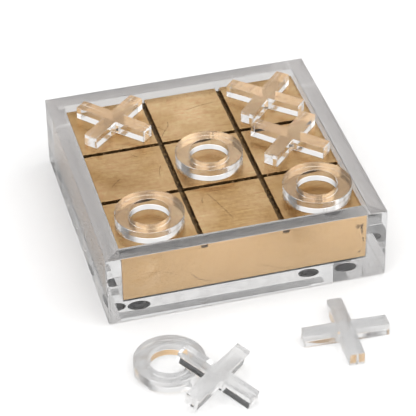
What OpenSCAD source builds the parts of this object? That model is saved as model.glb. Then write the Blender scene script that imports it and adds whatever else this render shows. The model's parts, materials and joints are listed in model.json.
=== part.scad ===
// Tic tac toe set: a gold-leafed block with a 3 x 3 grid of grooves, held in a thick clear acrylic tray,
// with five clear crosses and four clear rings. Three crosses and three rings stand on the block, and one
// ring, one flat cross and one cross that leans on that ring lie in front of the tray.
// Z is up, -Y is the front, and everything stands on z = 0.

/* [Tray] */
// Outside width and depth of the square tray
tray_w = 203.2; // [200:0.2:220]
// Thickness of the four walls and of the base plate
wall_t = 12; // [8:0.5:12]
// Height of the walls, without the pads under them
wall_h = 55.6; // [53:0.1:70]

/* [Pads] */
// Diameter of each felt pad
pad_d = 17; // [10:0.5:24]
// Thickness of each felt pad
pad_t = 1.6; // [1:0.1:4]
// Distance from the tray's outer faces to the centre of each pad
pad_inset = 25; // [16:0.5:40]

/* [Block] */
// Air gap between the block and each wall
block_gap = 0.7; // [0.3:0.1:2]
// Height of the gold-leafed block
block_h = 37.1; // [30:0.1:40]
// Thickness of the dark sheet under the block
underlay_t = 0.9; // [0.5:0.1:2]
// Distance that the dark sheet stays back from the block's faces
underlay_inset = 0.5; // [0:0.1:3]
// Distance between the two grooves of a pair
cell_pitch = 59.2; // [56:0.1:60]
// Width of each groove
groove_w = 3.6; // [2:0.1:5]
// Depth of each groove
groove_d = 3.2; // [1:0.1:6]

/* [Game pieces] */
// Thickness of every cross and ring
piece_t = 9.5; // [6:0.1:12]
// Length of a cross from arm end to arm end
cross_span = 60.4; // [50:0.2:61]
// Width of a cross's arms
cross_arm = 10.6; // [8:0.1:11]
// Outside diameter of a ring
ring_od = 49.6; // [44:0.2:50]
// Diameter of a ring's hole
ring_id = 29.2; // [20:0.2:34]
// Clearance under a piece that stands on the block or leans on a ring
seat_gap = 0.05; // [0.02:0.01:0.2]

/* [Loose pieces] */
// Sideways place of the loose ring's centre, from the tray's middle
loose_ring_x = -72.2; // [-76:0.1:-60]
// Distance from the tray's front face to the loose ring's centre
loose_ring_out = 55.4; // [50:0.1:80]
// Sideways place of the loose flat cross's centre, from the tray's middle
loose_cross_x = 53.3; // [45:0.1:70]
// Distance from the tray's front face to the loose flat cross's centre
loose_cross_out = 56.4; // [40:0.1:70]
// Turn of the loose flat cross, in degrees
loose_cross_turn = -2.7; // [-45:0.1:45]
// Direction in which the leaning cross slopes down, in degrees from +X
lean_heading = -50; // [-60:0.5:-40]
// Distance along the slope's direction from the ring's rim to the leaning cross's low edge
lean_run = 42; // [36:0.1:50]
// Sideways distance of the leaning cross's sloping arm from the ring's centre
lean_side = 1.8; // [-4:0.1:4]

/* [Hidden] */
$fn = 96;
cavity_w = tray_w - 2 * wall_t;
block_w = cavity_w - 2 * block_gap;
pad_at = tray_w / 2 - pad_inset;
base_z = pad_t;
underlay_z = base_z + wall_t;
block_z = underlay_z + underlay_t;
board_z = block_z + block_h + seat_gap;
slack = 1;
acrylic = [0.82, 0.86, 0.88, 0.55];
felt = [0.13, 0.13, 0.14];

loose_ring_at = [loose_ring_x, -tray_w / 2 - loose_ring_out];
loose_cross_at = [loose_cross_x, -tray_w / 2 - loose_cross_out];

// The leaning cross stands on the lower edge of one arm's end, and its opposite arm lies on the loose
// ring's rim. lean_dir points down the slope and lean_across lies level, at 90 degrees to it.
lean_dir = [cos(lean_heading), sin(lean_heading)];
lean_across = [-lean_dir[1], lean_dir[0]];
lean_foot_at = loose_ring_at + (ring_od / 2 + lean_run) * lean_dir + lean_side * lean_across;
lean_tilt = atan((piece_t + seat_gap) / lean_run);

// The whole set is moved along Y until its box is centred on the origin. The leaning cross reaches
// furthest forward, with the upper corner of its low end.
set_front = lean_foot_at[1] - cross_arm / 2 * lean_dir[0] + piece_t * sin(lean_tilt) * lean_dir[1];
tray_y = -(set_front + tray_w / 2) / 2;

// ---- shared shapes ----

// Centre of a cell of the grid, moved by a small offset: col and row are -1, 0 or 1.
function in_cell(col, row, offset) = [col * cell_pitch, row * cell_pitch] + offset;

// Moves a shape drawn about the tray's centre to its place, at height z.
module place(at, z, turn = 0) {
    translate([at[0], at[1] + tray_y, z]) rotate([0, 0, turn]) children();
}

// One wall with ends mitred at 45 degrees. The front wall has turn 0.
module mitred_wall(turn) {
    outer = tray_w / 2;
    inner = cavity_w / 2;
    outline = [[-outer, -outer], [outer, -outer], [inner, -inner], [-inner, -inner]];
    place([0, 0], base_z, turn) linear_extrude(wall_h) polygon(outline);
}

module foot_pad(side_x, side_y) {
    place([side_x * pad_at, side_y * pad_at], 0) cylinder(h = pad_t, d = pad_d);
}

// A cross with its underside on z = 0 and one arm along each of +X, +Y, -X and -Y.
module cross() {
    translate([-cross_span / 2, -cross_arm / 2, 0]) cube([cross_span, cross_arm, piece_t]);
    translate([-cross_arm / 2, -cross_span / 2, 0]) cube([cross_arm, cross_span, piece_t]);
}

// A cross turned so that its arms point into a cell's corners.
module diagonal_cross() { rotate([0, 0, 45]) cross(); }

// A ring with its underside on z = 0.
module ring() {
    difference() {
        cylinder(h = piece_t, d = ring_od);
        translate([0, 0, -slack]) cylinder(h = piece_t + 2 * slack, d = ring_id);
    }
}

// ---- tray ----

module wall_front() { color(acrylic) mitred_wall(0); }
module wall_right() { color(acrylic) mitred_wall(90); }
module wall_back() { color(acrylic) mitred_wall(180); }
module wall_left() { color(acrylic) mitred_wall(270); }

module base_plate() {
    color(acrylic) place([-cavity_w / 2, -cavity_w / 2], base_z) cube([cavity_w, cavity_w, wall_t]);
}

module foot_pad_front_left() { color(felt) foot_pad(-1, -1); }
module foot_pad_front_right() { color(felt) foot_pad(1, -1); }
module foot_pad_back_left() { color(felt) foot_pad(-1, 1); }
module foot_pad_back_right() { color(felt) foot_pad(1, 1); }

// ---- block ----

module block_underlay() {
    w = block_w - 2 * underlay_inset;
    color([0.2, 0.16, 0.12]) place([-w / 2, -w / 2], underlay_z) cube([w, w, underlay_t]);
}

// Two grooves run each way, right through to the block's faces.
module grid_block() {
    long = block_w + 2 * slack;
    color([0.8, 0.64, 0.4]) place([0, 0], block_z) difference() {
        translate([-block_w / 2, -block_w / 2, 0]) cube([block_w, block_w, block_h]);
        for (turn = [0, 90], side = [-1, 1])
            rotate([0, 0, turn])
                translate([side * cell_pitch / 2 - groove_w / 2, -long / 2, block_h - groove_d])
                    cube([groove_w, long, groove_d + slack]);
    }
}

// ---- game pieces on the block, each a little off its cell's centre ----

module cross_back_left() {
    color(acrylic) place(in_cell(-1, 1, [1.4, 1.3]), board_z, -2.7) diagonal_cross();
}

module cross_back_right() {
    color(acrylic) place(in_cell(1, 1, [0.2, -0.7]), board_z, 1.9) diagonal_cross();
}

module cross_middle_right() {
    color(acrylic) place(in_cell(1, 0, [2.8, 2.8]), board_z, 0.2) diagonal_cross();
}

module ring_centre() { color(acrylic) place(in_cell(0, 0, [-1, -1.1]), board_z) ring(); }
module ring_front_left() { color(acrylic) place(in_cell(-1, -1, [-1.2, -0.4]), board_z) ring(); }
module ring_front_right() { color(acrylic) place(in_cell(1, -1, [3.6, -0.8]), board_z) ring(); }

// ---- game pieces in front of the tray ----

module ring_loose() { color(acrylic) place(loose_ring_at, 0) ring(); }
module cross_loose() { color(acrylic) place(loose_cross_at, 0, loose_cross_turn) cross(); }

module cross_leaning() {
    color(acrylic) place(lean_foot_at, 0, lean_heading)
        rotate([0, lean_tilt, 0]) translate([-cross_span / 2, 0, 0]) cross();
}

wall_front();
wall_back();
wall_left();
wall_right();
base_plate();
foot_pad_front_left();
foot_pad_front_right();
foot_pad_back_left();
foot_pad_back_right();
block_underlay();
grid_block();
cross_back_left();
cross_back_right();
cross_middle_right();
ring_centre();
ring_front_left();
ring_front_right();
ring_loose();
cross_loose();
cross_leaning();
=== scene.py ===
import json
import math

import bmesh
import bpy
from mathutils import Matrix, Vector, noise


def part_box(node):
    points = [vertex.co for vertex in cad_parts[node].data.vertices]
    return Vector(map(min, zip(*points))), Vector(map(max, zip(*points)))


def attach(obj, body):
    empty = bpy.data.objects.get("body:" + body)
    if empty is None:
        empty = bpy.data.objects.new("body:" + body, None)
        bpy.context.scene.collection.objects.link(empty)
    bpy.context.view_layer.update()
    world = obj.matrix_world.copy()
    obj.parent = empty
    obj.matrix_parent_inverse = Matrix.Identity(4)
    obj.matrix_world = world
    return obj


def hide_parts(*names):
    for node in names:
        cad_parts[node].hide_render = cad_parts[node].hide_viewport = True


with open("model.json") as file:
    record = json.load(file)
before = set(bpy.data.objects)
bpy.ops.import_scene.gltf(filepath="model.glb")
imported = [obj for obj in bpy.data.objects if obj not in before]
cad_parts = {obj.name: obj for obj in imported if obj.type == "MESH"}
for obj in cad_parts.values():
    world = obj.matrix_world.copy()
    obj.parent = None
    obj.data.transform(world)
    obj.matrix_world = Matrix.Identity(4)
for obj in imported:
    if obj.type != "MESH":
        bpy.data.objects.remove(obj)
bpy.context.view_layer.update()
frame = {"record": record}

MM = 0.001

# ---- sizes and places, worked out from the frame ----

BODY = {node: body for body, nodes in frame["record"]["behaviour"]["bodies"].items() for node in nodes}


def centre_of(node):
    low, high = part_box(node)
    return (low + high) / 2


def size_of(node):
    low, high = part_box(node)
    return high - low


TRAY_LOW = Vector(map(min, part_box("wall_left")[0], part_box("wall_front")[0]))
TRAY_HIGH = Vector(map(max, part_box("wall_right")[1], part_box("wall_back")[1]))
TRAY_MID = Vector(((TRAY_LOW.x + TRAY_HIGH.x) / 2, (TRAY_LOW.y + TRAY_HIGH.y) / 2, 0))
WALL = size_of("wall_left").x
BASE_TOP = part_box("base_plate")[1].z
PIECE_T = size_of("ring_loose").z
GROOVE_AT = 29.6 * MM
GROOVE_W = 3.6 * MM
GROOVE_D = 3.2 * MM
CROSS_SPAN = 60.4 * MM
CROSS_ARM = 10.6 * MM
RING_HOLE = 29.2 * MM

# Turn of each level cross about its middle, in degrees. Those on the block point into their cell's corners.
CROSS_TURNS = {
    "cross_back_left": 45 - 2.7,
    "cross_back_right": 45 + 1.9,
    "cross_middle_right": 45 + 0.2,
    "cross_loose": -2.7,
}

# The leaning cross slopes down away from the loose ring: the direction in degrees from +X, the distance
# from the ring's rim to the cross's foot, and the sideways distance from the ring's middle.
LEAN_HEADING = math.radians(-50)
LEAN_RUN = 42 * MM
LEAN_SIDE = 1.8 * MM
LEAN_GAP = 0.05 * MM

# Width of the eased edges of the tray, the underlay and the game pieces.
TRAY_EASE = 0.35 * MM
UNDERLAY_EASE = 0.15 * MM
PIECE_EASE = 0.25 * MM

# ---- camera ----

VIEW_AZIMUTH = math.radians(-14.72)
VIEW_ELEVATION = math.radians(37.5)
VIEW_ROLL = math.radians(-0.93)
VIEW_DISTANCE = 1.566
AIM = TRAY_MID + Vector((-1.1, 3.9, 4.5)) * MM
LENS = 181.6
SENSOR = 36.0


def make_camera():
    a, e = VIEW_AZIMUTH, VIEW_ELEVATION
    back = Vector((math.sin(a) * math.cos(e), -math.cos(a) * math.cos(e), math.sin(e)))
    right = Vector((math.cos(a), math.sin(a), 0))
    up = back.cross(right)
    turn = Matrix((right, up, back)).transposed().to_4x4() @ Matrix.Rotation(VIEW_ROLL, 4, "Z")
    data = bpy.data.cameras.new("camera")
    data.lens = LENS
    data.sensor_width = SENSOR
    data.clip_end = 20
    camera = bpy.data.objects.new("camera", data)
    camera.matrix_world = Matrix.Translation(AIM + back * VIEW_DISTANCE) @ turn
    bpy.context.collection.objects.link(camera)
    bpy.context.scene.camera = camera


# ---- node helpers ----


class Shader:
    """A new material with short ways to add and join its nodes."""

    def __init__(self, name):
        self.material = bpy.data.materials.new(name)
        self.material.use_nodes = True
        self.tree = self.material.node_tree
        self.bsdf = self.tree.nodes["Principled BSDF"]
        self.output = self.tree.nodes["Material Output"]
        self.position = self.add("ShaderNodeTexCoord").outputs["Object"]

    def add(self, kind, **settings):
        node = self.tree.nodes.new(kind)
        for name, value in settings.items():
            setattr(node, name, value)
        return node

    def join(self, source, target):
        self.tree.links.new(source, target)

    def fill(self, socket, value):
        """Links value to socket if it is an output, and sets it if it is a number or colour."""
        if isinstance(value, bpy.types.NodeSocket):
            self.join(value, socket)
        else:
            socket.default_value = value

    def set(self, **values):
        for name, value in values.items():
            self.fill(self.bsdf.inputs[name.replace("_", " ")], value)

    def math(self, operation, a, b=0.0, c=0.0):
        node = self.add("ShaderNodeMath", operation=operation)
        for socket, value in zip(node.inputs, (a, b, c)):
            self.fill(socket, value)
        return node.outputs[0]

    def noise(self, scale, detail=4.0, roughness=0.55, vector=None):
        node = self.add("ShaderNodeTexNoise")
        self.join(vector or self.position, node.inputs["Vector"])
        node.inputs["Scale"].default_value = scale
        node.inputs["Detail"].default_value = detail
        node.inputs["Roughness"].default_value = roughness
        return node.outputs["Fac"]

    def split(self, vector):
        node = self.add("ShaderNodeSeparateXYZ")
        self.join(vector, node.inputs["Vector"])
        return node.outputs

    def hairs(self, vector, hairs):
        """Fine scratches, each (start, end, bow, width) in the plane of vector: 1 along them, 0 elsewhere."""
        total = 0.0
        for (ax, ay), (bx, by), bow, width in hairs:
            along = self.add("ShaderNodeMapping", vector_type="TEXTURE")
            self.join(vector, along.inputs["Vector"])
            along.inputs["Location"].default_value = (ax, ay, 0)
            along.inputs["Rotation"].default_value = (0, 0, math.atan2(by - ay, bx - ax))
            along.inputs["Scale"].default_value = (math.hypot(bx - ax, by - ay), width / 2, 1)
            u, v, _ = self.split(along.outputs["Vector"])
            # 0 at both ends and a quarter halfway along, where the line lies off to the side by bow.
            inside = self.math("MULTIPLY", u, self.math("SUBTRACT", 1.0, u))
            off = self.math("ABSOLUTE", self.math("MULTIPLY_ADD", inside, -8 * bow / width, v))
            across = self.clamped("SUBTRACT", 1.5, off)
            ends = self.clamped("MULTIPLY", inside, 8.0)
            total = self.math("MAXIMUM", self.math("MULTIPLY", across, ends), total)
        return total

    def patches(self, vector, patches):
        """A brightness of 1, with soft round patches that each add their own amount at the middle."""
        total = 1.0
        for (x, y, radius), amount in patches:
            around = self.add("ShaderNodeMapping", vector_type="TEXTURE")
            self.join(vector, around.inputs["Vector"])
            around.inputs["Location"].default_value = (x, y, 0)
            around.inputs["Scale"].default_value = (radius,) * 3
            ball = self.add("ShaderNodeTexGradient", gradient_type="QUADRATIC_SPHERE")
            self.join(around.outputs["Vector"], ball.inputs["Vector"])
            total = self.math("MULTIPLY_ADD", ball.outputs["Fac"], amount, total)
        return total

    def clamped(self, operation, a, b):
        node = self.add("ShaderNodeMath", operation=operation, use_clamp=True)
        self.fill(node.inputs[0], a)
        self.fill(node.inputs[1], b)
        return node.outputs[0]

    def stretched(self, scale):
        """The position, multiplied by scale along each axis."""
        node = self.add("ShaderNodeMapping")
        self.join(self.position, node.inputs["Vector"])
        node.inputs["Scale"].default_value = scale
        return node.outputs["Vector"]

    def ramp(self, value, *stops):
        """A ramp over value; each stop is (position, number or colour)."""
        node = self.add("ShaderNodeValToRGB")
        self.join(value, node.inputs["Fac"])
        elements = node.color_ramp.elements
        while len(elements) < len(stops):
            elements.new(0.5)
        for element, (position, shade) in zip(elements, stops):
            element.position = position
            shade = (shade,) * 3 if isinstance(shade, (int, float)) else shade
            element.color = (*shade, 1)
        return node.outputs["Color"]

    def mix(self, factor, a, b, blend="MIX"):
        node = self.add("ShaderNodeMix", data_type="RGBA", blend_type=blend)
        for name, value in (("Factor", factor), ("A", a), ("B", b)):
            if isinstance(value, tuple):
                value = (*value, 1)
            self.fill(node.inputs[name], value)
        return node.outputs["Result"]

    def bump(self, height, strength, distance, normal=None):
        node = self.add("ShaderNodeBump")
        node.inputs["Strength"].default_value = strength
        node.inputs["Distance"].default_value = distance
        self.join(height, node.inputs["Height"])
        if normal:
            self.join(normal, node.inputs["Normal"])
        return node.outputs["Normal"]


# ---- materials ----

ACRYLIC_IOR = 1.49
WHITE = (1, 1, 1, 1)

# How clear the tray's rims are: the front wall's, and the other three.
FRONT_RIM_CLEARNESS = 0.95
RIM_CLEARNESS = 0.79

# Gold leaf at its darkest and lightest, and between them.
LEAF_DARK = (0.545, 0.330, 0.138)
LEAF_LIGHT = (0.76, 0.515, 0.275)
LEAF_MIDDLE = tuple((a + b) / 2 for a, b in zip(LEAF_DARK, LEAF_LIGHT))

# Painted light on the block's front face: a lift of the leaf's colour that makes the whole face lighter, as
# the side that faces the light. Also how strongly a lighter or darker patch changes red, green and blue.
FRONT_PAINTED_LIGHT = (1.30, 1.34, 1.38)
PATCH_POWERS = (1.0, 1.25, 1.6)

# Bare wood in the grooves at its darkest and lightest, specks of leaf left on it, and the scratches.
WOOD_DARK = (0.050, 0.027, 0.009)
WOOD_LIGHT = (0.17, 0.098, 0.034)
WOOD_FLECK = (0.42, 0.27, 0.10)
SCRATCH_BROWN = (0.16, 0.09, 0.04)

# Depths and distances in the leaf's pattern, in millimetres: how far below the top a point still counts as
# the top, how far to each side of its middle line a worn groove can reach, and how far down its walls the
# leaf can go.
TOP_SKIN = 0.6
GROOVE_REACH = 2.5
LEAF_REACH = 3.6

# Hair scratches in millimetres: (start, end, sideways bow, width). Those on the top are in plan, from the
# block's middle. Those on the front face are (across, up from the top).
TOP_HAIRS = [
    ((-18, 56), (-20, 48), 0.6, 0.45),
    ((-20, 48), (-27, 37), -0.5, 0.4),
    ((-27, 51), (-22, 44), 0.2, 0.4),
    ((-2, 66), (24, 71), 0.8, 0.4),
    ((-14, -36), (-2, -74), 0.7, 0.38),
    ((-17, -42), (-19, -49), -0.4, 0.55),
    ((-77, -13), (-68, -4), 0.3, 0.5),
    ((-54, 23), (-49, 18), -0.8, 0.5),
    ((-40, -10), (-36, 4), 0.8, 0.32),
    ((40, 76), (61, 86), -1.2, 0.5),
    ((49, 66), (60, 84), 1.0, 0.4),
    ((56, 86), (61, 79), 0.4, 0.5),
    ((59, 87), (63, 82), -0.4, 0.45),
]
FRONT_HAIRS = [
    ((-41, -22), (-23, -34), -3.2, 0.45),
    ((8, -25), (34, -36), -1.5, 0.3),
    ((-78, -18), (-46, -26), 4.0, 0.25),
    ((80.8, -9.8), (87.0, -8.9), 0.2, 2.2),
    ((85.3, -7.5), (86.3, -17.2), -0.3, 1.5),
    ((82.4, -7.0), (82.8, -11.8), 0.0, 1.2),
    ((86.4, -19.5), (87.0, -24.0), 0.1, 1.2),
    ((83.0, -32.0), (85.4, -32.2), 0.0, 1.3),
    ((-12.3, -15.2), (-11.3, -15.3), 0.0, 0.8),
    ((9.8, -8.3), (10.6, -8.4), 0.0, 0.7),
]

# Broad lighter and darker patches on the top: (across, along, radius) in millimetres from the block's middle,
# and how much each adds to the brightness. The darker patches under the three rings on the block are painted
# shade; the others are the leaf's uneven tone.
TOP_TONE_AND_RING_SHADE = [
    ((2, 66, 60), 0.13),
    ((0, -64, 56), 0.16),
    ((-34, 6, 34), 0.12),
    ((-74, -12, 60), -0.24),
    ((40, 20, 26), -0.24),
    ((42, -74, 40), -0.26),
    # The next three are painted shade under the rings on the block.
    ((-60, -60, 30), -0.16),
    ((-1, -1, 24), -0.2),
    ((63, -60, 24), -0.2),
]


def make_acrylic(name):
    """Clear cast acrylic. Faint smears left by polishing dull it a little in places."""
    s = Shader(name)
    s.set(Transmission_Weight=1.0, IOR=ACRYLIC_IOR, Base_Color=WHITE)
    s.set(Roughness=s.ramp(s.noise(90, detail=2), (0.5, 0.0), (0.8, 0.02)))
    return s.material


def make_cut_acrylic():
    """Clear acrylic cut by laser: polished above and below, with fine upright lines round the cut edges."""
    s = Shader("piece_acrylic")
    s.set(Transmission_Weight=1.0, IOR=ACRYLIC_IOR, Base_Color=WHITE)
    upright = s.split(s.add("ShaderNodeNewGeometry").outputs["Normal"])[2]
    side = s.math("LESS_THAN", s.math("ABSOLUTE", upright), 0.5)
    lines = s.noise(1400, detail=3, roughness=0.6, vector=s.stretched((1, 1, 0.04)))
    s.set(Roughness=s.math("MULTIPLY", side, s.ramp(lines, (0.3, 0.0), (0.7, 0.04))))
    s.set(Normal=s.bump(s.math("MULTIPLY", lines, side), 0.8, 0.06 * MM))
    return s.material


def make_satin_edge(name, clearness):
    """A machined rim of the tray: clear, with a fine satin haze and a painted warm tint that stands for light
    reflected up from the gold block and its underlay.
    """
    s = Shader(name)
    s.set(IOR=ACRYLIC_IOR, Transmission_Weight=clearness)
    # Painted reflection: the warm tint stands for the gold block's and underlay's colour seen in the rim.
    s.set(Base_Color=s.ramp(s.noise(500, detail=3), (0.3, (0.94, 0.905, 0.89)), (0.7, (1.0, 0.97, 0.955))))
    s.set(Roughness=s.ramp(s.noise(60, detail=2), (0.3, 0.0), (0.7, 0.05)))
    return s.material


def make_bond():
    """A glued joint inside the acrylic: almost clear, with a faint white haze."""
    s = Shader("bond_line")
    s.set(Base_Color=(0.95, 0.95, 0.96, 1), Roughness=0.6)
    clear = s.add("ShaderNodeBsdfTransparent")
    both = s.add("ShaderNodeMixShader")
    haze = s.ramp(s.noise(140, detail=3), (0.35, 0.02), (0.7, 0.10))
    s.join(haze, both.inputs["Fac"])
    s.join(clear.outputs["BSDF"], both.inputs[1])
    s.join(s.bsdf.outputs["BSDF"], both.inputs[2])
    s.join(both.outputs["Shader"], s.output.inputs["Surface"])
    return s.material


def make_leafed_wood():
    """Aged gold leaf over wood: soft mottling, faint grain, hair scratches, and bare brown grooves. The
    pattern is laid out in millimetres from the middle of the block's top."""
    s = Shader("gold_leaf")
    low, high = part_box("grid_block")
    place = s.add("ShaderNodeMapping", vector_type="TEXTURE")
    s.join(s.position, place.inputs["Vector"])
    place.inputs["Location"].default_value = (TRAY_MID.x, TRAY_MID.y, high.z)
    place.inputs["Scale"].default_value = (MM,) * 3
    on_block = place.outputs["Vector"]
    x, y, z = s.split(on_block)
    depth = s.math("MULTIPLY", z, -1.0)
    on_top = s.math("LESS_THAN", depth, TOP_SKIN)
    on_front = s.math("LESS_THAN", y, (low.y - TRAY_MID.y) / MM + 0.05)

    # The leaf is streaky and cloudy on the top, and almost even on the sides.
    cloud = s.noise(28, detail=4, roughness=0.5)
    mottle = s.noise(330, detail=3, roughness=0.6)
    grain = s.noise(90, detail=5, roughness=0.65, vector=s.stretched((0.7, 9, 9)))
    streaky = s.math("MULTIPLY_ADD", on_top, 0.45, 0.05)
    cloudy = s.ramp(cloud, (0.35, LEAF_DARK), (0.65, LEAF_LIGHT))
    colour = s.mix(s.math("MULTIPLY_ADD", streaky, 1.9, 0.05), LEAF_MIDDLE, cloudy)
    colour = s.mix(streaky, colour, s.ramp(mottle, (0.3, 0.34), (0.7, 0.66)), "OVERLAY")
    colour = s.mix(streaky, colour, s.ramp(grain, (0.3, 0.30), (0.7, 0.70)), "OVERLAY")

    # Soft patches lighten or darken the top, with painted shade under the rings, and the front face gets
    # painted light that makes it lighter as a whole.
    tone_and_ring_shade = s.patches(on_block, TOP_TONE_AND_RING_SHADE)
    shade = s.add("ShaderNodeCombineColor")
    for channel, power in zip(shade.inputs, PATCH_POWERS):
        s.join(s.math("POWER", tone_and_ring_shade, power), channel)
    colour = s.mix(on_top, colour, s.mix(1.0, colour, shade.outputs["Color"], "MULTIPLY"))
    # Painted light: the whole front face is lifted lighter, as lit from the front.
    colour = s.mix(on_front, colour, s.mix(1.0, colour, FRONT_PAINTED_LIGHT, "MULTIPLY"))

    # Hair scratches, broken here and there, show the brown below the leaf.
    facing = s.add("ShaderNodeCombineXYZ")
    s.join(x, facing.inputs["X"])
    s.join(z, facing.inputs["Y"])
    top_hairs = s.math("MULTIPLY", s.hairs(on_block, TOP_HAIRS), on_top)
    front_hairs = s.math("MULTIPLY", s.hairs(facing.outputs["Vector"], FRONT_HAIRS), on_front)
    scratch = s.math("MAXIMUM", top_hairs, front_hairs)
    broken = s.ramp(s.noise(700, detail=2), (0.38, 0.5), (0.55, 1.0))
    colour = s.mix(s.math("MULTIPLY", scratch, broken), colour, SCRATCH_BROWN)

    # Bare wood shows in the grooves, and the leaf ends raggedly a little way down their walls.
    grooved = 0.0
    for across in (x, y):
        off_groove = s.math("SUBTRACT", s.math("ABSOLUTE", across), GROOVE_AT / MM)
        near = s.math("LESS_THAN", s.math("ABSOLUTE", off_groove), GROOVE_REACH)
        grooved = s.math("MAXIMUM", near, grooved)
    grooved = s.math("MULTIPLY", grooved, s.math("LESS_THAN", depth, GROOVE_D / MM + 0.2))
    reach = s.ramp(s.noise(650, detail=4, roughness=0.7), (0.45, 0.10), (0.72, 0.80))
    bare = s.math("GREATER_THAN", depth, s.math("MULTIPLY", reach, LEAF_REACH))
    bare = s.math("MULTIPLY", bare, grooved)
    wood = s.ramp(s.noise(240, detail=5), (0.35, WOOD_DARK), (0.7, WOOD_LIGHT))
    fleck = s.ramp(s.noise(900, detail=3, roughness=0.7), (0.60, 0.0), (0.64, 1.0))
    wood = s.mix(fleck, wood, WOOD_FLECK)
    s.set(Base_Color=s.mix(bare, colour, wood))
    s.set(Metallic=s.math("MULTIPLY_ADD", bare, -0.25, 0.9))
    s.set(Roughness=s.ramp(s.mix(0.5, grain, mottle), (0.3, 0.25), (0.7, 0.30)))
    uneven = s.bump(s.noise(38, detail=2), 0.06, 0.4 * MM)
    brushed = s.noise(90, detail=1.5, vector=s.stretched((0.7, 9, 9)))
    s.set(Normal=s.bump(brushed, 0.12, 0.04 * MM, normal=uneven))
    return s.material


# Felts: darkest colour, lightest colour, and scale of the fibres.
PAD_FELT = ((0.002, 0.002, 0.003), (0.075, 0.076, 0.084), 1100)
UNDERLAY_FELT = ((0.02, 0.012, 0.007), (0.07, 0.045, 0.025), 700)


def make_felt(name, dark, light, fibre_scale):
    """Matt felt, in which lighter fibres show against darker ones."""
    s = Shader(name)
    fibre = s.noise(fibre_scale, detail=6, roughness=0.75)
    s.set(Base_Color=s.ramp(fibre, (0.48, dark), (0.66, light)), Roughness=0.95)
    s.set(Sheen_Weight=0.2)
    s.set(Normal=s.bump(fibre, 0.6, 0.3 * MM))
    return s.material


# Distance in front of the tray over which the floor's light grey fades to a painted shade, darker under and
# behind the tray.
FLOOR_SHADE_FADE = 80 * MM


def make_floor_paint():
    """A matt pale floor. Seen directly it is almost white, as the backdrop of a product shot is burnt out,
    and in reflections and through the acrylic it is light grey, with painted shade that makes it darker under
    and behind the tray."""
    s = Shader("floor")
    seen = s.add("ShaderNodeLightPath").outputs["Is Camera Ray"]
    white = s.ramp(s.noise(3, detail=2), (0.3, 0.92), (0.7, 0.935))
    # Painted shade: away from the camera's direct view, the floor is darker under and behind the tray.
    front = s.math("MULTIPLY_ADD", s.split(s.position)[1], 1 / FLOOR_SHADE_FADE, -TRAY_LOW.y / FLOOR_SHADE_FADE + 1)
    grey = s.ramp(front, (0.0, 0.80), (1.0, 0.60))
    s.set(Base_Color=s.mix(seen, grey, white), Roughness=0.9)
    return s.material


# ---- mesh helpers ----


def finish_piece(bm, name, material, body, nodes=(), smooth=None):
    """Turns bm into an object that rides on body and stands for the CAD nodes."""
    bmesh.ops.recalc_face_normals(bm, faces=bm.faces)
    mesh = bpy.data.meshes.new(name)
    bm.to_mesh(mesh)
    bm.free()
    materials = material if isinstance(material, list) else [material]
    for m in materials:
        mesh.materials.append(m)
    piece = bpy.data.objects.new(name, mesh)
    bpy.context.collection.objects.link(piece)
    if smooth is not None:
        for polygon in mesh.polygons:
            polygon.use_smooth = True
        mesh.set_sharp_from_angle(angle=math.radians(smooth))
    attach(piece, body)
    if nodes:
        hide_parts(*nodes)
    return piece


# The sides of a square's corners, anticlockwise from front left.
CORNERS = ((-1, -1), (1, -1), (1, 1), (-1, 1))


def square(half, z, mid=TRAY_MID):
    """Four corners of a level square, anticlockwise from front left."""
    return [Vector((mid.x + side_x * half, mid.y + side_y * half, z)) for side_x, side_y in CORNERS]


def extrude_outline(bm, outline, low, high):
    """A closed prism from a level outline of (x, y) points."""
    rings = [[bm.verts.new((x, y, z)) for x, y in outline] for z in (low, high)]
    bm.faces.new(reversed(rings[0]))
    bm.faces.new(rings[1])
    count = len(outline)
    for i in range(count):
        j = (i + 1) % count
        bm.faces.new((rings[0][i], rings[0][j], rings[1][j], rings[1][i]))


def ease(bm, edges, width):
    bmesh.ops.bevel(bm, geom=list(edges), offset=width, segments=2, profile=0.5, affect="EDGES")


# ---- tray ----


def make_tray(acrylic, bond):
    """The four walls and the base as one clear solid, as solvent-bonded acrylic looks. The front wall's rim
    is clearer than the others."""
    outer = (TRAY_HIGH.x - TRAY_LOW.x) / 2
    inner = outer - WALL
    bm = bmesh.new()
    low, high = TRAY_LOW.z, TRAY_HIGH.z
    loops = [
        [bm.verts.new(p) for p in corners]
        for corners in (square(outer, low), square(outer, high), square(inner, high), square(inner, BASE_TOP))
    ]
    bm.faces.new(reversed(loops[0]))
    bm.faces.new(loops[3])
    for below, above in zip(loops, loops[1:]):
        for i in range(4):
            j = (i + 1) % 4
            bm.faces.new((below[i], below[j], above[j], above[i]))
    eased = set()
    for loop in loops[:3]:
        for i in range(4):
            eased.add(bm.edges.get((loop[i], loop[(i + 1) % 4])))
            if loop is loops[0]:
                eased.add(bm.edges.get((loop[i], loops[1][i])))
    ease(bm, eased, TRAY_EASE)
    for face in bm.faces:
        middle = face.calc_center_median()
        if middle.z > high - TRAY_EASE / 2:
            face.material_index = 1 if middle.y < TRAY_LOW.y + WALL else 2
    front_rim = make_satin_edge("acrylic_front_rim", FRONT_RIM_CLEARNESS)
    other_rims = make_satin_edge("acrylic_rim", RIM_CLEARNESS)
    nodes = ("wall_front", "wall_back", "wall_left", "wall_right", "base_plate")
    finish_piece(bm, "tray_acrylic", [acrylic, front_rim, other_rims], "tray", nodes)
    make_bonds(bond, outer, inner)


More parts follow.
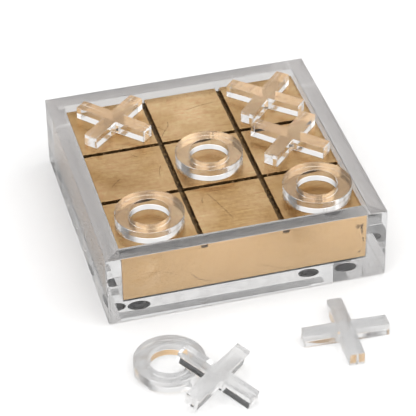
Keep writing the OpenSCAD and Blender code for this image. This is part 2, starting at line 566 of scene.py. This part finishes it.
def make_bonds(bond, outer, inner):
    """Thin sheets inside the acrylic where the mitred walls meet, and where the base meets each wall."""
    skin = 0.04 * MM
    inset = 0.4 * MM

    def sheet(bm, start, end, top):
        across = Vector((start.y - end.y, end.x - start.x)).normalized() * skin
        outline = [TRAY_MID.xy + p for p in (start - across, end - across, end + across, start + across)]
        extrude_outline(bm, outline, TRAY_LOW.z + inset, top - inset)

    mitres, seams = bmesh.new(), bmesh.new()
    corners = [Vector(corner) for corner in CORNERS]
    for corner, following in zip(corners, corners[1:] + corners[:1]):
        sheet(mitres, corner * (inner + inset), corner * (outer - inset), TRAY_HIGH.z)
        trim = (following - corner).normalized() * inset
        sheet(seams, corner * inner + trim, following * inner - trim, BASE_TOP)
    finish_piece(mitres, "tray_mitre_bonds", bond, "tray")
    finish_piece(seams, "tray_base_bonds", bond, "tray")


# ---- block ----

# Radius of the block's rounded edges, how far they drop at the very edge, and how far a groove's edge drops.
BLOCK_ROUND = 0.5 * MM
BLOCK_DROP = 0.45 * MM
GROOVE_DROP = 0.13 * MM

# Greatest distance between two grid lines on the block, and the finer places of the lines in millimetres:
# from a groove's wall towards its middle, from a groove's middle, and from the block's face inwards.
GRID_STEP = 1.15 * MM
WALL_MARKS = (-0.55, -0.3, -0.12, -0.02, 0.04, 0.16)
FLOOR_MARKS = (-0.8, 0.0, 0.8)
EDGE_MARKS = (0.3, 0.13, 0.03, 0.0)

# Wear of the groove edges: (depth of the wear, its scale along the edge, its place in the noise).
GROOVE_WEAR = ((0.22 * MM, 420, 0.3), (0.12 * MM, 1500, 2.7))

# How steeply a groove's wall falls, and how much the whole top swells and dips.
WALL_SLOPE = 24
SWELL = 0.05 * MM


def grid_lines(half):
    """Places of the grid lines along one axis: close together over the rounded edges and groove walls."""
    marks = [0.0]

    def spread(start, end):
        count = max(1, round((end - start) / GRID_STEP))
        marks.extend(start + (end - start) * (i + 1) / count for i in range(count))

    wall_in = GROOVE_AT - GROOVE_W / 2
    wall_out = GROOVE_AT + GROOVE_W / 2
    spread(0.0, wall_in - 2 * BLOCK_ROUND)
    marks.extend(wall_in + mark * MM for mark in WALL_MARKS)
    marks.extend(GROOVE_AT + mark * MM for mark in FLOOR_MARKS)
    marks.extend(wall_out - mark * MM for mark in reversed(WALL_MARKS))
    spread(wall_out + 2 * BLOCK_ROUND, half - BLOCK_ROUND)
    marks.extend(half - mark * MM for mark in EDGE_MARKS)
    return [-mark for mark in reversed(marks[1:])] + marks


def groove_drop(t, along):
    """How far the surface lies below the top at distance t from the middle, across one pair of grooves."""
    wear = sum(
        depth * noise.noise(Vector((along * scale, t * 60, seed))) for depth, scale, seed in GROOVE_WEAR
    )
    off_wall = abs(abs(t) - GROOVE_AT) - GROOVE_W / 2 + wear
    if off_wall < 0:
        return min(GROOVE_D, -off_wall * WALL_SLOPE + 0.25 * MM) - 0.05 * MM
    return GROOVE_DROP * max(0.0, 1 - off_wall / BLOCK_ROUND) ** 2


def make_block(leaf):
    """The gold-leafed block as a fine grid of points, so that its groove edges can be worn and uneven."""
    low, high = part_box("grid_block")
    mid = (low + high) / 2
    half = (high.x - low.x) / 2
    lines = grid_lines(half)

    def edge_drop(t):
        return BLOCK_DROP * max(0.0, 1 - (half - abs(t)) / BLOCK_ROUND) ** 2

    bm = bmesh.new()
    grid = []
    for x in lines:
        row = []
        for y in lines:
            drop = max(groove_drop(x, y), groove_drop(y, x + 0.7), edge_drop(x), edge_drop(y))
            swell = SWELL * noise.noise(Vector((x * 45, y * 45, 1.0)))
            row.append(bm.verts.new((mid.x + x, mid.y + y, high.z - max(0.0, drop + swell))))
        grid.append(row)
    count = len(lines)
    for i in range(count - 1):
        for j in range(count - 1):
            bm.faces.new((grid[i][j], grid[i + 1][j], grid[i + 1][j + 1], grid[i][j + 1]))
    rim = [grid[i][0] for i in range(count)] + [grid[-1][j] for j in range(1, count)]
    rim += [grid[i][-1] for i in range(count - 2, -1, -1)] + [grid[0][j] for j in range(count - 2, 0, -1)]
    foot = [bm.verts.new((v.co.x, v.co.y, low.z)) for v in rim]
    for i in range(len(rim)):
        j = (i + 1) % len(rim)
        bm.faces.new((rim[i], foot[i], foot[j], rim[j]))
    bm.faces.new(foot)
    finish_piece(bm, "gold_block", leaf, "tray", ("grid_block",), smooth=20)


def make_underlay(paper):
    """The dark sheet under the block. A thin film of air keeps it off the polished base."""
    low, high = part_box("block_underlay")
    film = 0.06 * MM
    mid = (low + high) / 2
    half = (high.x - low.x) / 2
    bm = bmesh.new()
    outline = [(p.x, p.y) for p in square(half, 0, mid)]
    extrude_outline(bm, outline, low.z + film, high.z)
    ease(bm, bm.edges, UNDERLAY_EASE)
    finish_piece(bm, "underlay_sheet", paper, "tray", ("block_underlay",))


# ---- pads ----

# A pad's outline from its underside up: (part of its radius, part of its thickness).
PAD_PROFILE = ((0.955, 0.0), (0.99, 0.12), (1.0, 0.45), (0.995, 0.8), (0.97, 1.0))
PAD_SIDES = 64
PAD_PRESS = 0.05 * MM
PAD_WAVER = 0.006


def make_pad(node, felt):
    """A felt disc with a soft, slightly uneven edge, pressed onto the acrylic above it."""
    low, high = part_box(node)
    mid = (low + high) / 2
    radius = (high.x - low.x) / 2
    height = high.z + PAD_PRESS - low.z
    bm = bmesh.new()
    rings = []
    for out, up in PAD_PROFILE:
        ring = []
        for i in range(PAD_SIDES):
            a = 2 * math.pi * i / PAD_SIDES
            waver = noise.noise(Vector((math.cos(a) * 4, math.sin(a) * 4, mid.x * 30)))
            r = radius * out * (1 + PAD_WAVER * waver - PAD_WAVER)
            ring.append(bm.verts.new((mid.x + r * math.cos(a), mid.y + r * math.sin(a), low.z + up * height)))
        rings.append(ring)
    bm.faces.new(reversed(rings[0]))
    bm.faces.new(rings[-1])
    for below, above in zip(rings, rings[1:]):
        for i in range(PAD_SIDES):
            j = (i + 1) % PAD_SIDES
            bm.faces.new((below[i], below[j], above[j], above[i]))
    finish_piece(bm, node.replace("foot_pad", "felt_pad"), felt, "tray", (node,), smooth=50)


# ---- game pieces ----


def cross_outline(span, arm):
    """Anticlockwise outline of a cross: the two corners of each arm's end and the inner corner after it."""
    s, a = span / 2, arm / 2
    outline = []
    for x, y in ((1, 0), (0, 1), (-1, 0), (0, -1)):
        for out, left in ((s, -a), (s, a), (a, a)):
            outline.append((out * x - left * y, out * y + left * x))
    return outline


def make_cross(node, acrylic, place):
    """A cross with eased edges, drawn level about its underside's middle and then moved by place."""
    bm = bmesh.new()
    extrude_outline(bm, cross_outline(CROSS_SPAN, CROSS_ARM), 0, PIECE_T)
    ease(bm, bm.edges, PIECE_EASE)
    bmesh.ops.transform(bm, matrix=place, verts=bm.verts)
    finish_piece(bm, "clear_" + node, acrylic, BODY[node], (node,))


# Where the laser started its cut round a ring: the direction of the mark it left, in degrees from +X.
START_MARKS = {"ring_centre": 70, "ring_front_left": 160, "ring_front_right": -92, "ring_loose": 25}
START_DEPTH = 0.16 * MM
RING_SIDES = 160


def make_ring(node, acrylic):
    """A ring with eased edges. One of its sides is cut a little deeper, where the laser started."""
    low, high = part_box(node)
    mid = (low + high) / 2
    outer, inner = (high.x - low.x) / 2, RING_HOLE / 2
    full, part = PIECE_EASE, 0.3 * PIECE_EASE

    # The cross-section, anticlockwise from its outer lower corner, with three points at each corner.
    profile = []
    corners = ((outer, -1, low.z, 1), (outer, -1, high.z, -1), (inner, 1, high.z, -1), (inner, 1, low.z, 1))
    for radius, inward, z, up in corners:
        middle = (radius + inward * part, z + up * part)
        eased = [(radius + inward * full, z), middle, (radius, z + up * full)]
        profile += eased if inward * up < 0 else reversed(eased)

    bm = bmesh.new()
    sections = []
    start = round(START_MARKS[node] % 360 / 360 * RING_SIDES)
    for i in range(RING_SIDES):
        a = 2 * math.pi * i / RING_SIDES
        cut = START_DEPTH if i == start else 0.0
        section = []
        for radius, z in profile:
            r = radius - cut if radius > (outer + inner) / 2 else radius + cut
            section.append(bm.verts.new((mid.x + r * math.cos(a), mid.y + r * math.sin(a), z)))
        sections.append(section)
    for i in range(RING_SIDES):
        this, other = sections[i], sections[(i + 1) % RING_SIDES]
        for k in range(len(profile)):
            m = (k + 1) % len(profile)
            bm.faces.new((this[k], other[k], other[m], this[m]))
    finish_piece(bm, "clear_" + node, acrylic, BODY[node], (node,), smooth=15)


def level_place(node):
    """Where a level cross stands."""
    low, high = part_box(node)
    mid = (low + high) / 2
    turn = Matrix.Rotation(math.radians(CROSS_TURNS[node]), 4, "Z")
    return Matrix.Translation((mid.x, mid.y, low.z)) @ turn


def leaning_place():
    """Where the leaning cross stands: on one arm's end, with the opposite arm on the loose ring's rim."""
    ring = centre_of("ring_loose")
    down = Vector((math.cos(LEAN_HEADING), math.sin(LEAN_HEADING), 0))
    across = Vector((-down.y, down.x, 0))
    reach = size_of("ring_loose").x / 2 + LEAN_RUN
    foot = Vector((ring.x, ring.y, 0)) + down * reach + across * LEAN_SIDE
    tilt = math.atan((PIECE_T + LEAN_GAP) / LEAN_RUN)
    return (
        Matrix.Translation(foot)
        @ Matrix.Rotation(LEAN_HEADING, 4, "Z")
        @ Matrix.Rotation(tilt, 4, "Y")
        @ Matrix.Translation((-CROSS_SPAN / 2, 0, 0))
    )


# ---- stage ----

# The studio's even glow, and the soft panels and flags on it: (azimuth clockwise from +Y, elevation, radius,
# softness of the edge, brightness), angles in degrees. Later ones lie over earlier ones.
STUDIO_TINT = (1.0, 0.996, 0.994, 1)
STUDIO_GLOW = 0.28
STUDIO_PANELS = [
    (170, 31, 92, 14, 0.95),
    (0, 90, 38, 12, 1.72),
    (115, 64, 32, 12, 1.85),
    (110, 8, 34, 12, 1.65),
    (245, 20, 38, 14, 1.65),
    (180, 0, 27, 9, 2.6),
    (-58, 31, 19, 10, 0.22),
    (17, 35, 13, 6, 0.85),
    (34, 54, 11, 5, 0.03),
    (73, 38, 12, 7, 0.8),
    (257, 38, 12, 7, 1.3),
    (183, 41, 14, 8, 0.6),
]


# The floor's slab: half its width, its thickness, and how far it stays below the object.
FLOOR_HALF = 4.0
FLOOR_T = 20 * MM
FLOOR_GAP = 0.02 * MM


def make_floor(material):
    bm = bmesh.new()
    extrude_outline(bm, [(x * FLOOR_HALF, y * FLOOR_HALF) for x, y in CORNERS], -FLOOR_T, -FLOOR_GAP)
    mesh = bpy.data.meshes.new("floor")
    bmesh.ops.recalc_face_normals(bm, faces=bm.faces)
    bm.to_mesh(mesh)
    bm.free()
    mesh.materials.append(material)
    floor = bpy.data.objects.new("floor", mesh)
    bpy.context.collection.objects.link(floor)


def make_world():
    """Soft studio surroundings: an even glow with broad bright panels and dark flags painted onto it."""
    world = bpy.data.worlds.new("studio")
    world.use_nodes = True
    nodes, links = world.node_tree.nodes, world.node_tree.links
    background = nodes["Background"]
    direction = nodes.new("ShaderNodeTexCoord").outputs["Generated"]
    glow = STUDIO_GLOW
    for azimuth, elevation, radius, softness, brightness in STUDIO_PANELS:
        toward = nodes.new("ShaderNodeVectorMath")
        toward.operation = "DOT_PRODUCT"
        links.new(direction, toward.inputs[0])
        a, e = math.radians(azimuth), math.radians(elevation)
        toward.inputs[1].default_value = (math.sin(a) * math.cos(e), math.cos(a) * math.cos(e), math.sin(e))
        inside = nodes.new("ShaderNodeMapRange")
        inside.interpolation_type = "SMOOTHSTEP"
        links.new(toward.outputs["Value"], inside.inputs["Value"])
        inside.inputs["From Min"].default_value = math.cos(math.radians(min(180, radius + softness)))
        inside.inputs["From Max"].default_value = math.cos(math.radians(max(0, radius - softness)))
        paint = nodes.new("ShaderNodeMix")
        links.new(inside.outputs["Result"], paint.inputs["Factor"])
        if isinstance(glow, float):
            paint.inputs["A"].default_value = glow
        else:
            links.new(glow, paint.inputs["A"])
        paint.inputs["B"].default_value = brightness
        glow = paint.outputs["Result"]
    links.new(glow, background.inputs["Strength"])
    background.inputs["Color"].default_value = STUDIO_TINT
    bpy.context.scene.world = world


def set_up_render():
    """Plain colours, and enough bounces for light to pass through several pieces of acrylic."""
    scene = bpy.context.scene
    scene.view_settings.view_transform = "Standard"
    cycles = scene.cycles
    cycles.max_bounces = 24
    cycles.transmission_bounces = 24
    cycles.glossy_bounces = 12
    cycles.diffuse_bounces = 4
    cycles.transparent_max_bounces = 16
    cycles.caustics_reflective = True
    cycles.caustics_refractive = True
    cycles.sample_clamp_indirect = 3
    cycles.use_denoising = True
    cycles.denoising_input_passes = "RGB"


def main():
    set_up_render()
    make_camera()
    make_world()
    make_floor(make_floor_paint())

    make_tray(make_acrylic("tray_acrylic"), make_bond())
    make_block(make_leafed_wood())
    make_underlay(make_felt("underlay", *UNDERLAY_FELT))

    felt = make_felt("dark_felt", *PAD_FELT)
    piece_acrylic = make_cut_acrylic()
    for node in BODY:
        if node.startswith("foot_pad"):
            make_pad(node, felt)
        elif node.startswith("ring"):
            make_ring(node, piece_acrylic)
    for node in CROSS_TURNS:
        make_cross(node, piece_acrylic, level_place(node))
    make_cross("cross_leaning", piece_acrylic, leaning_place())


main()
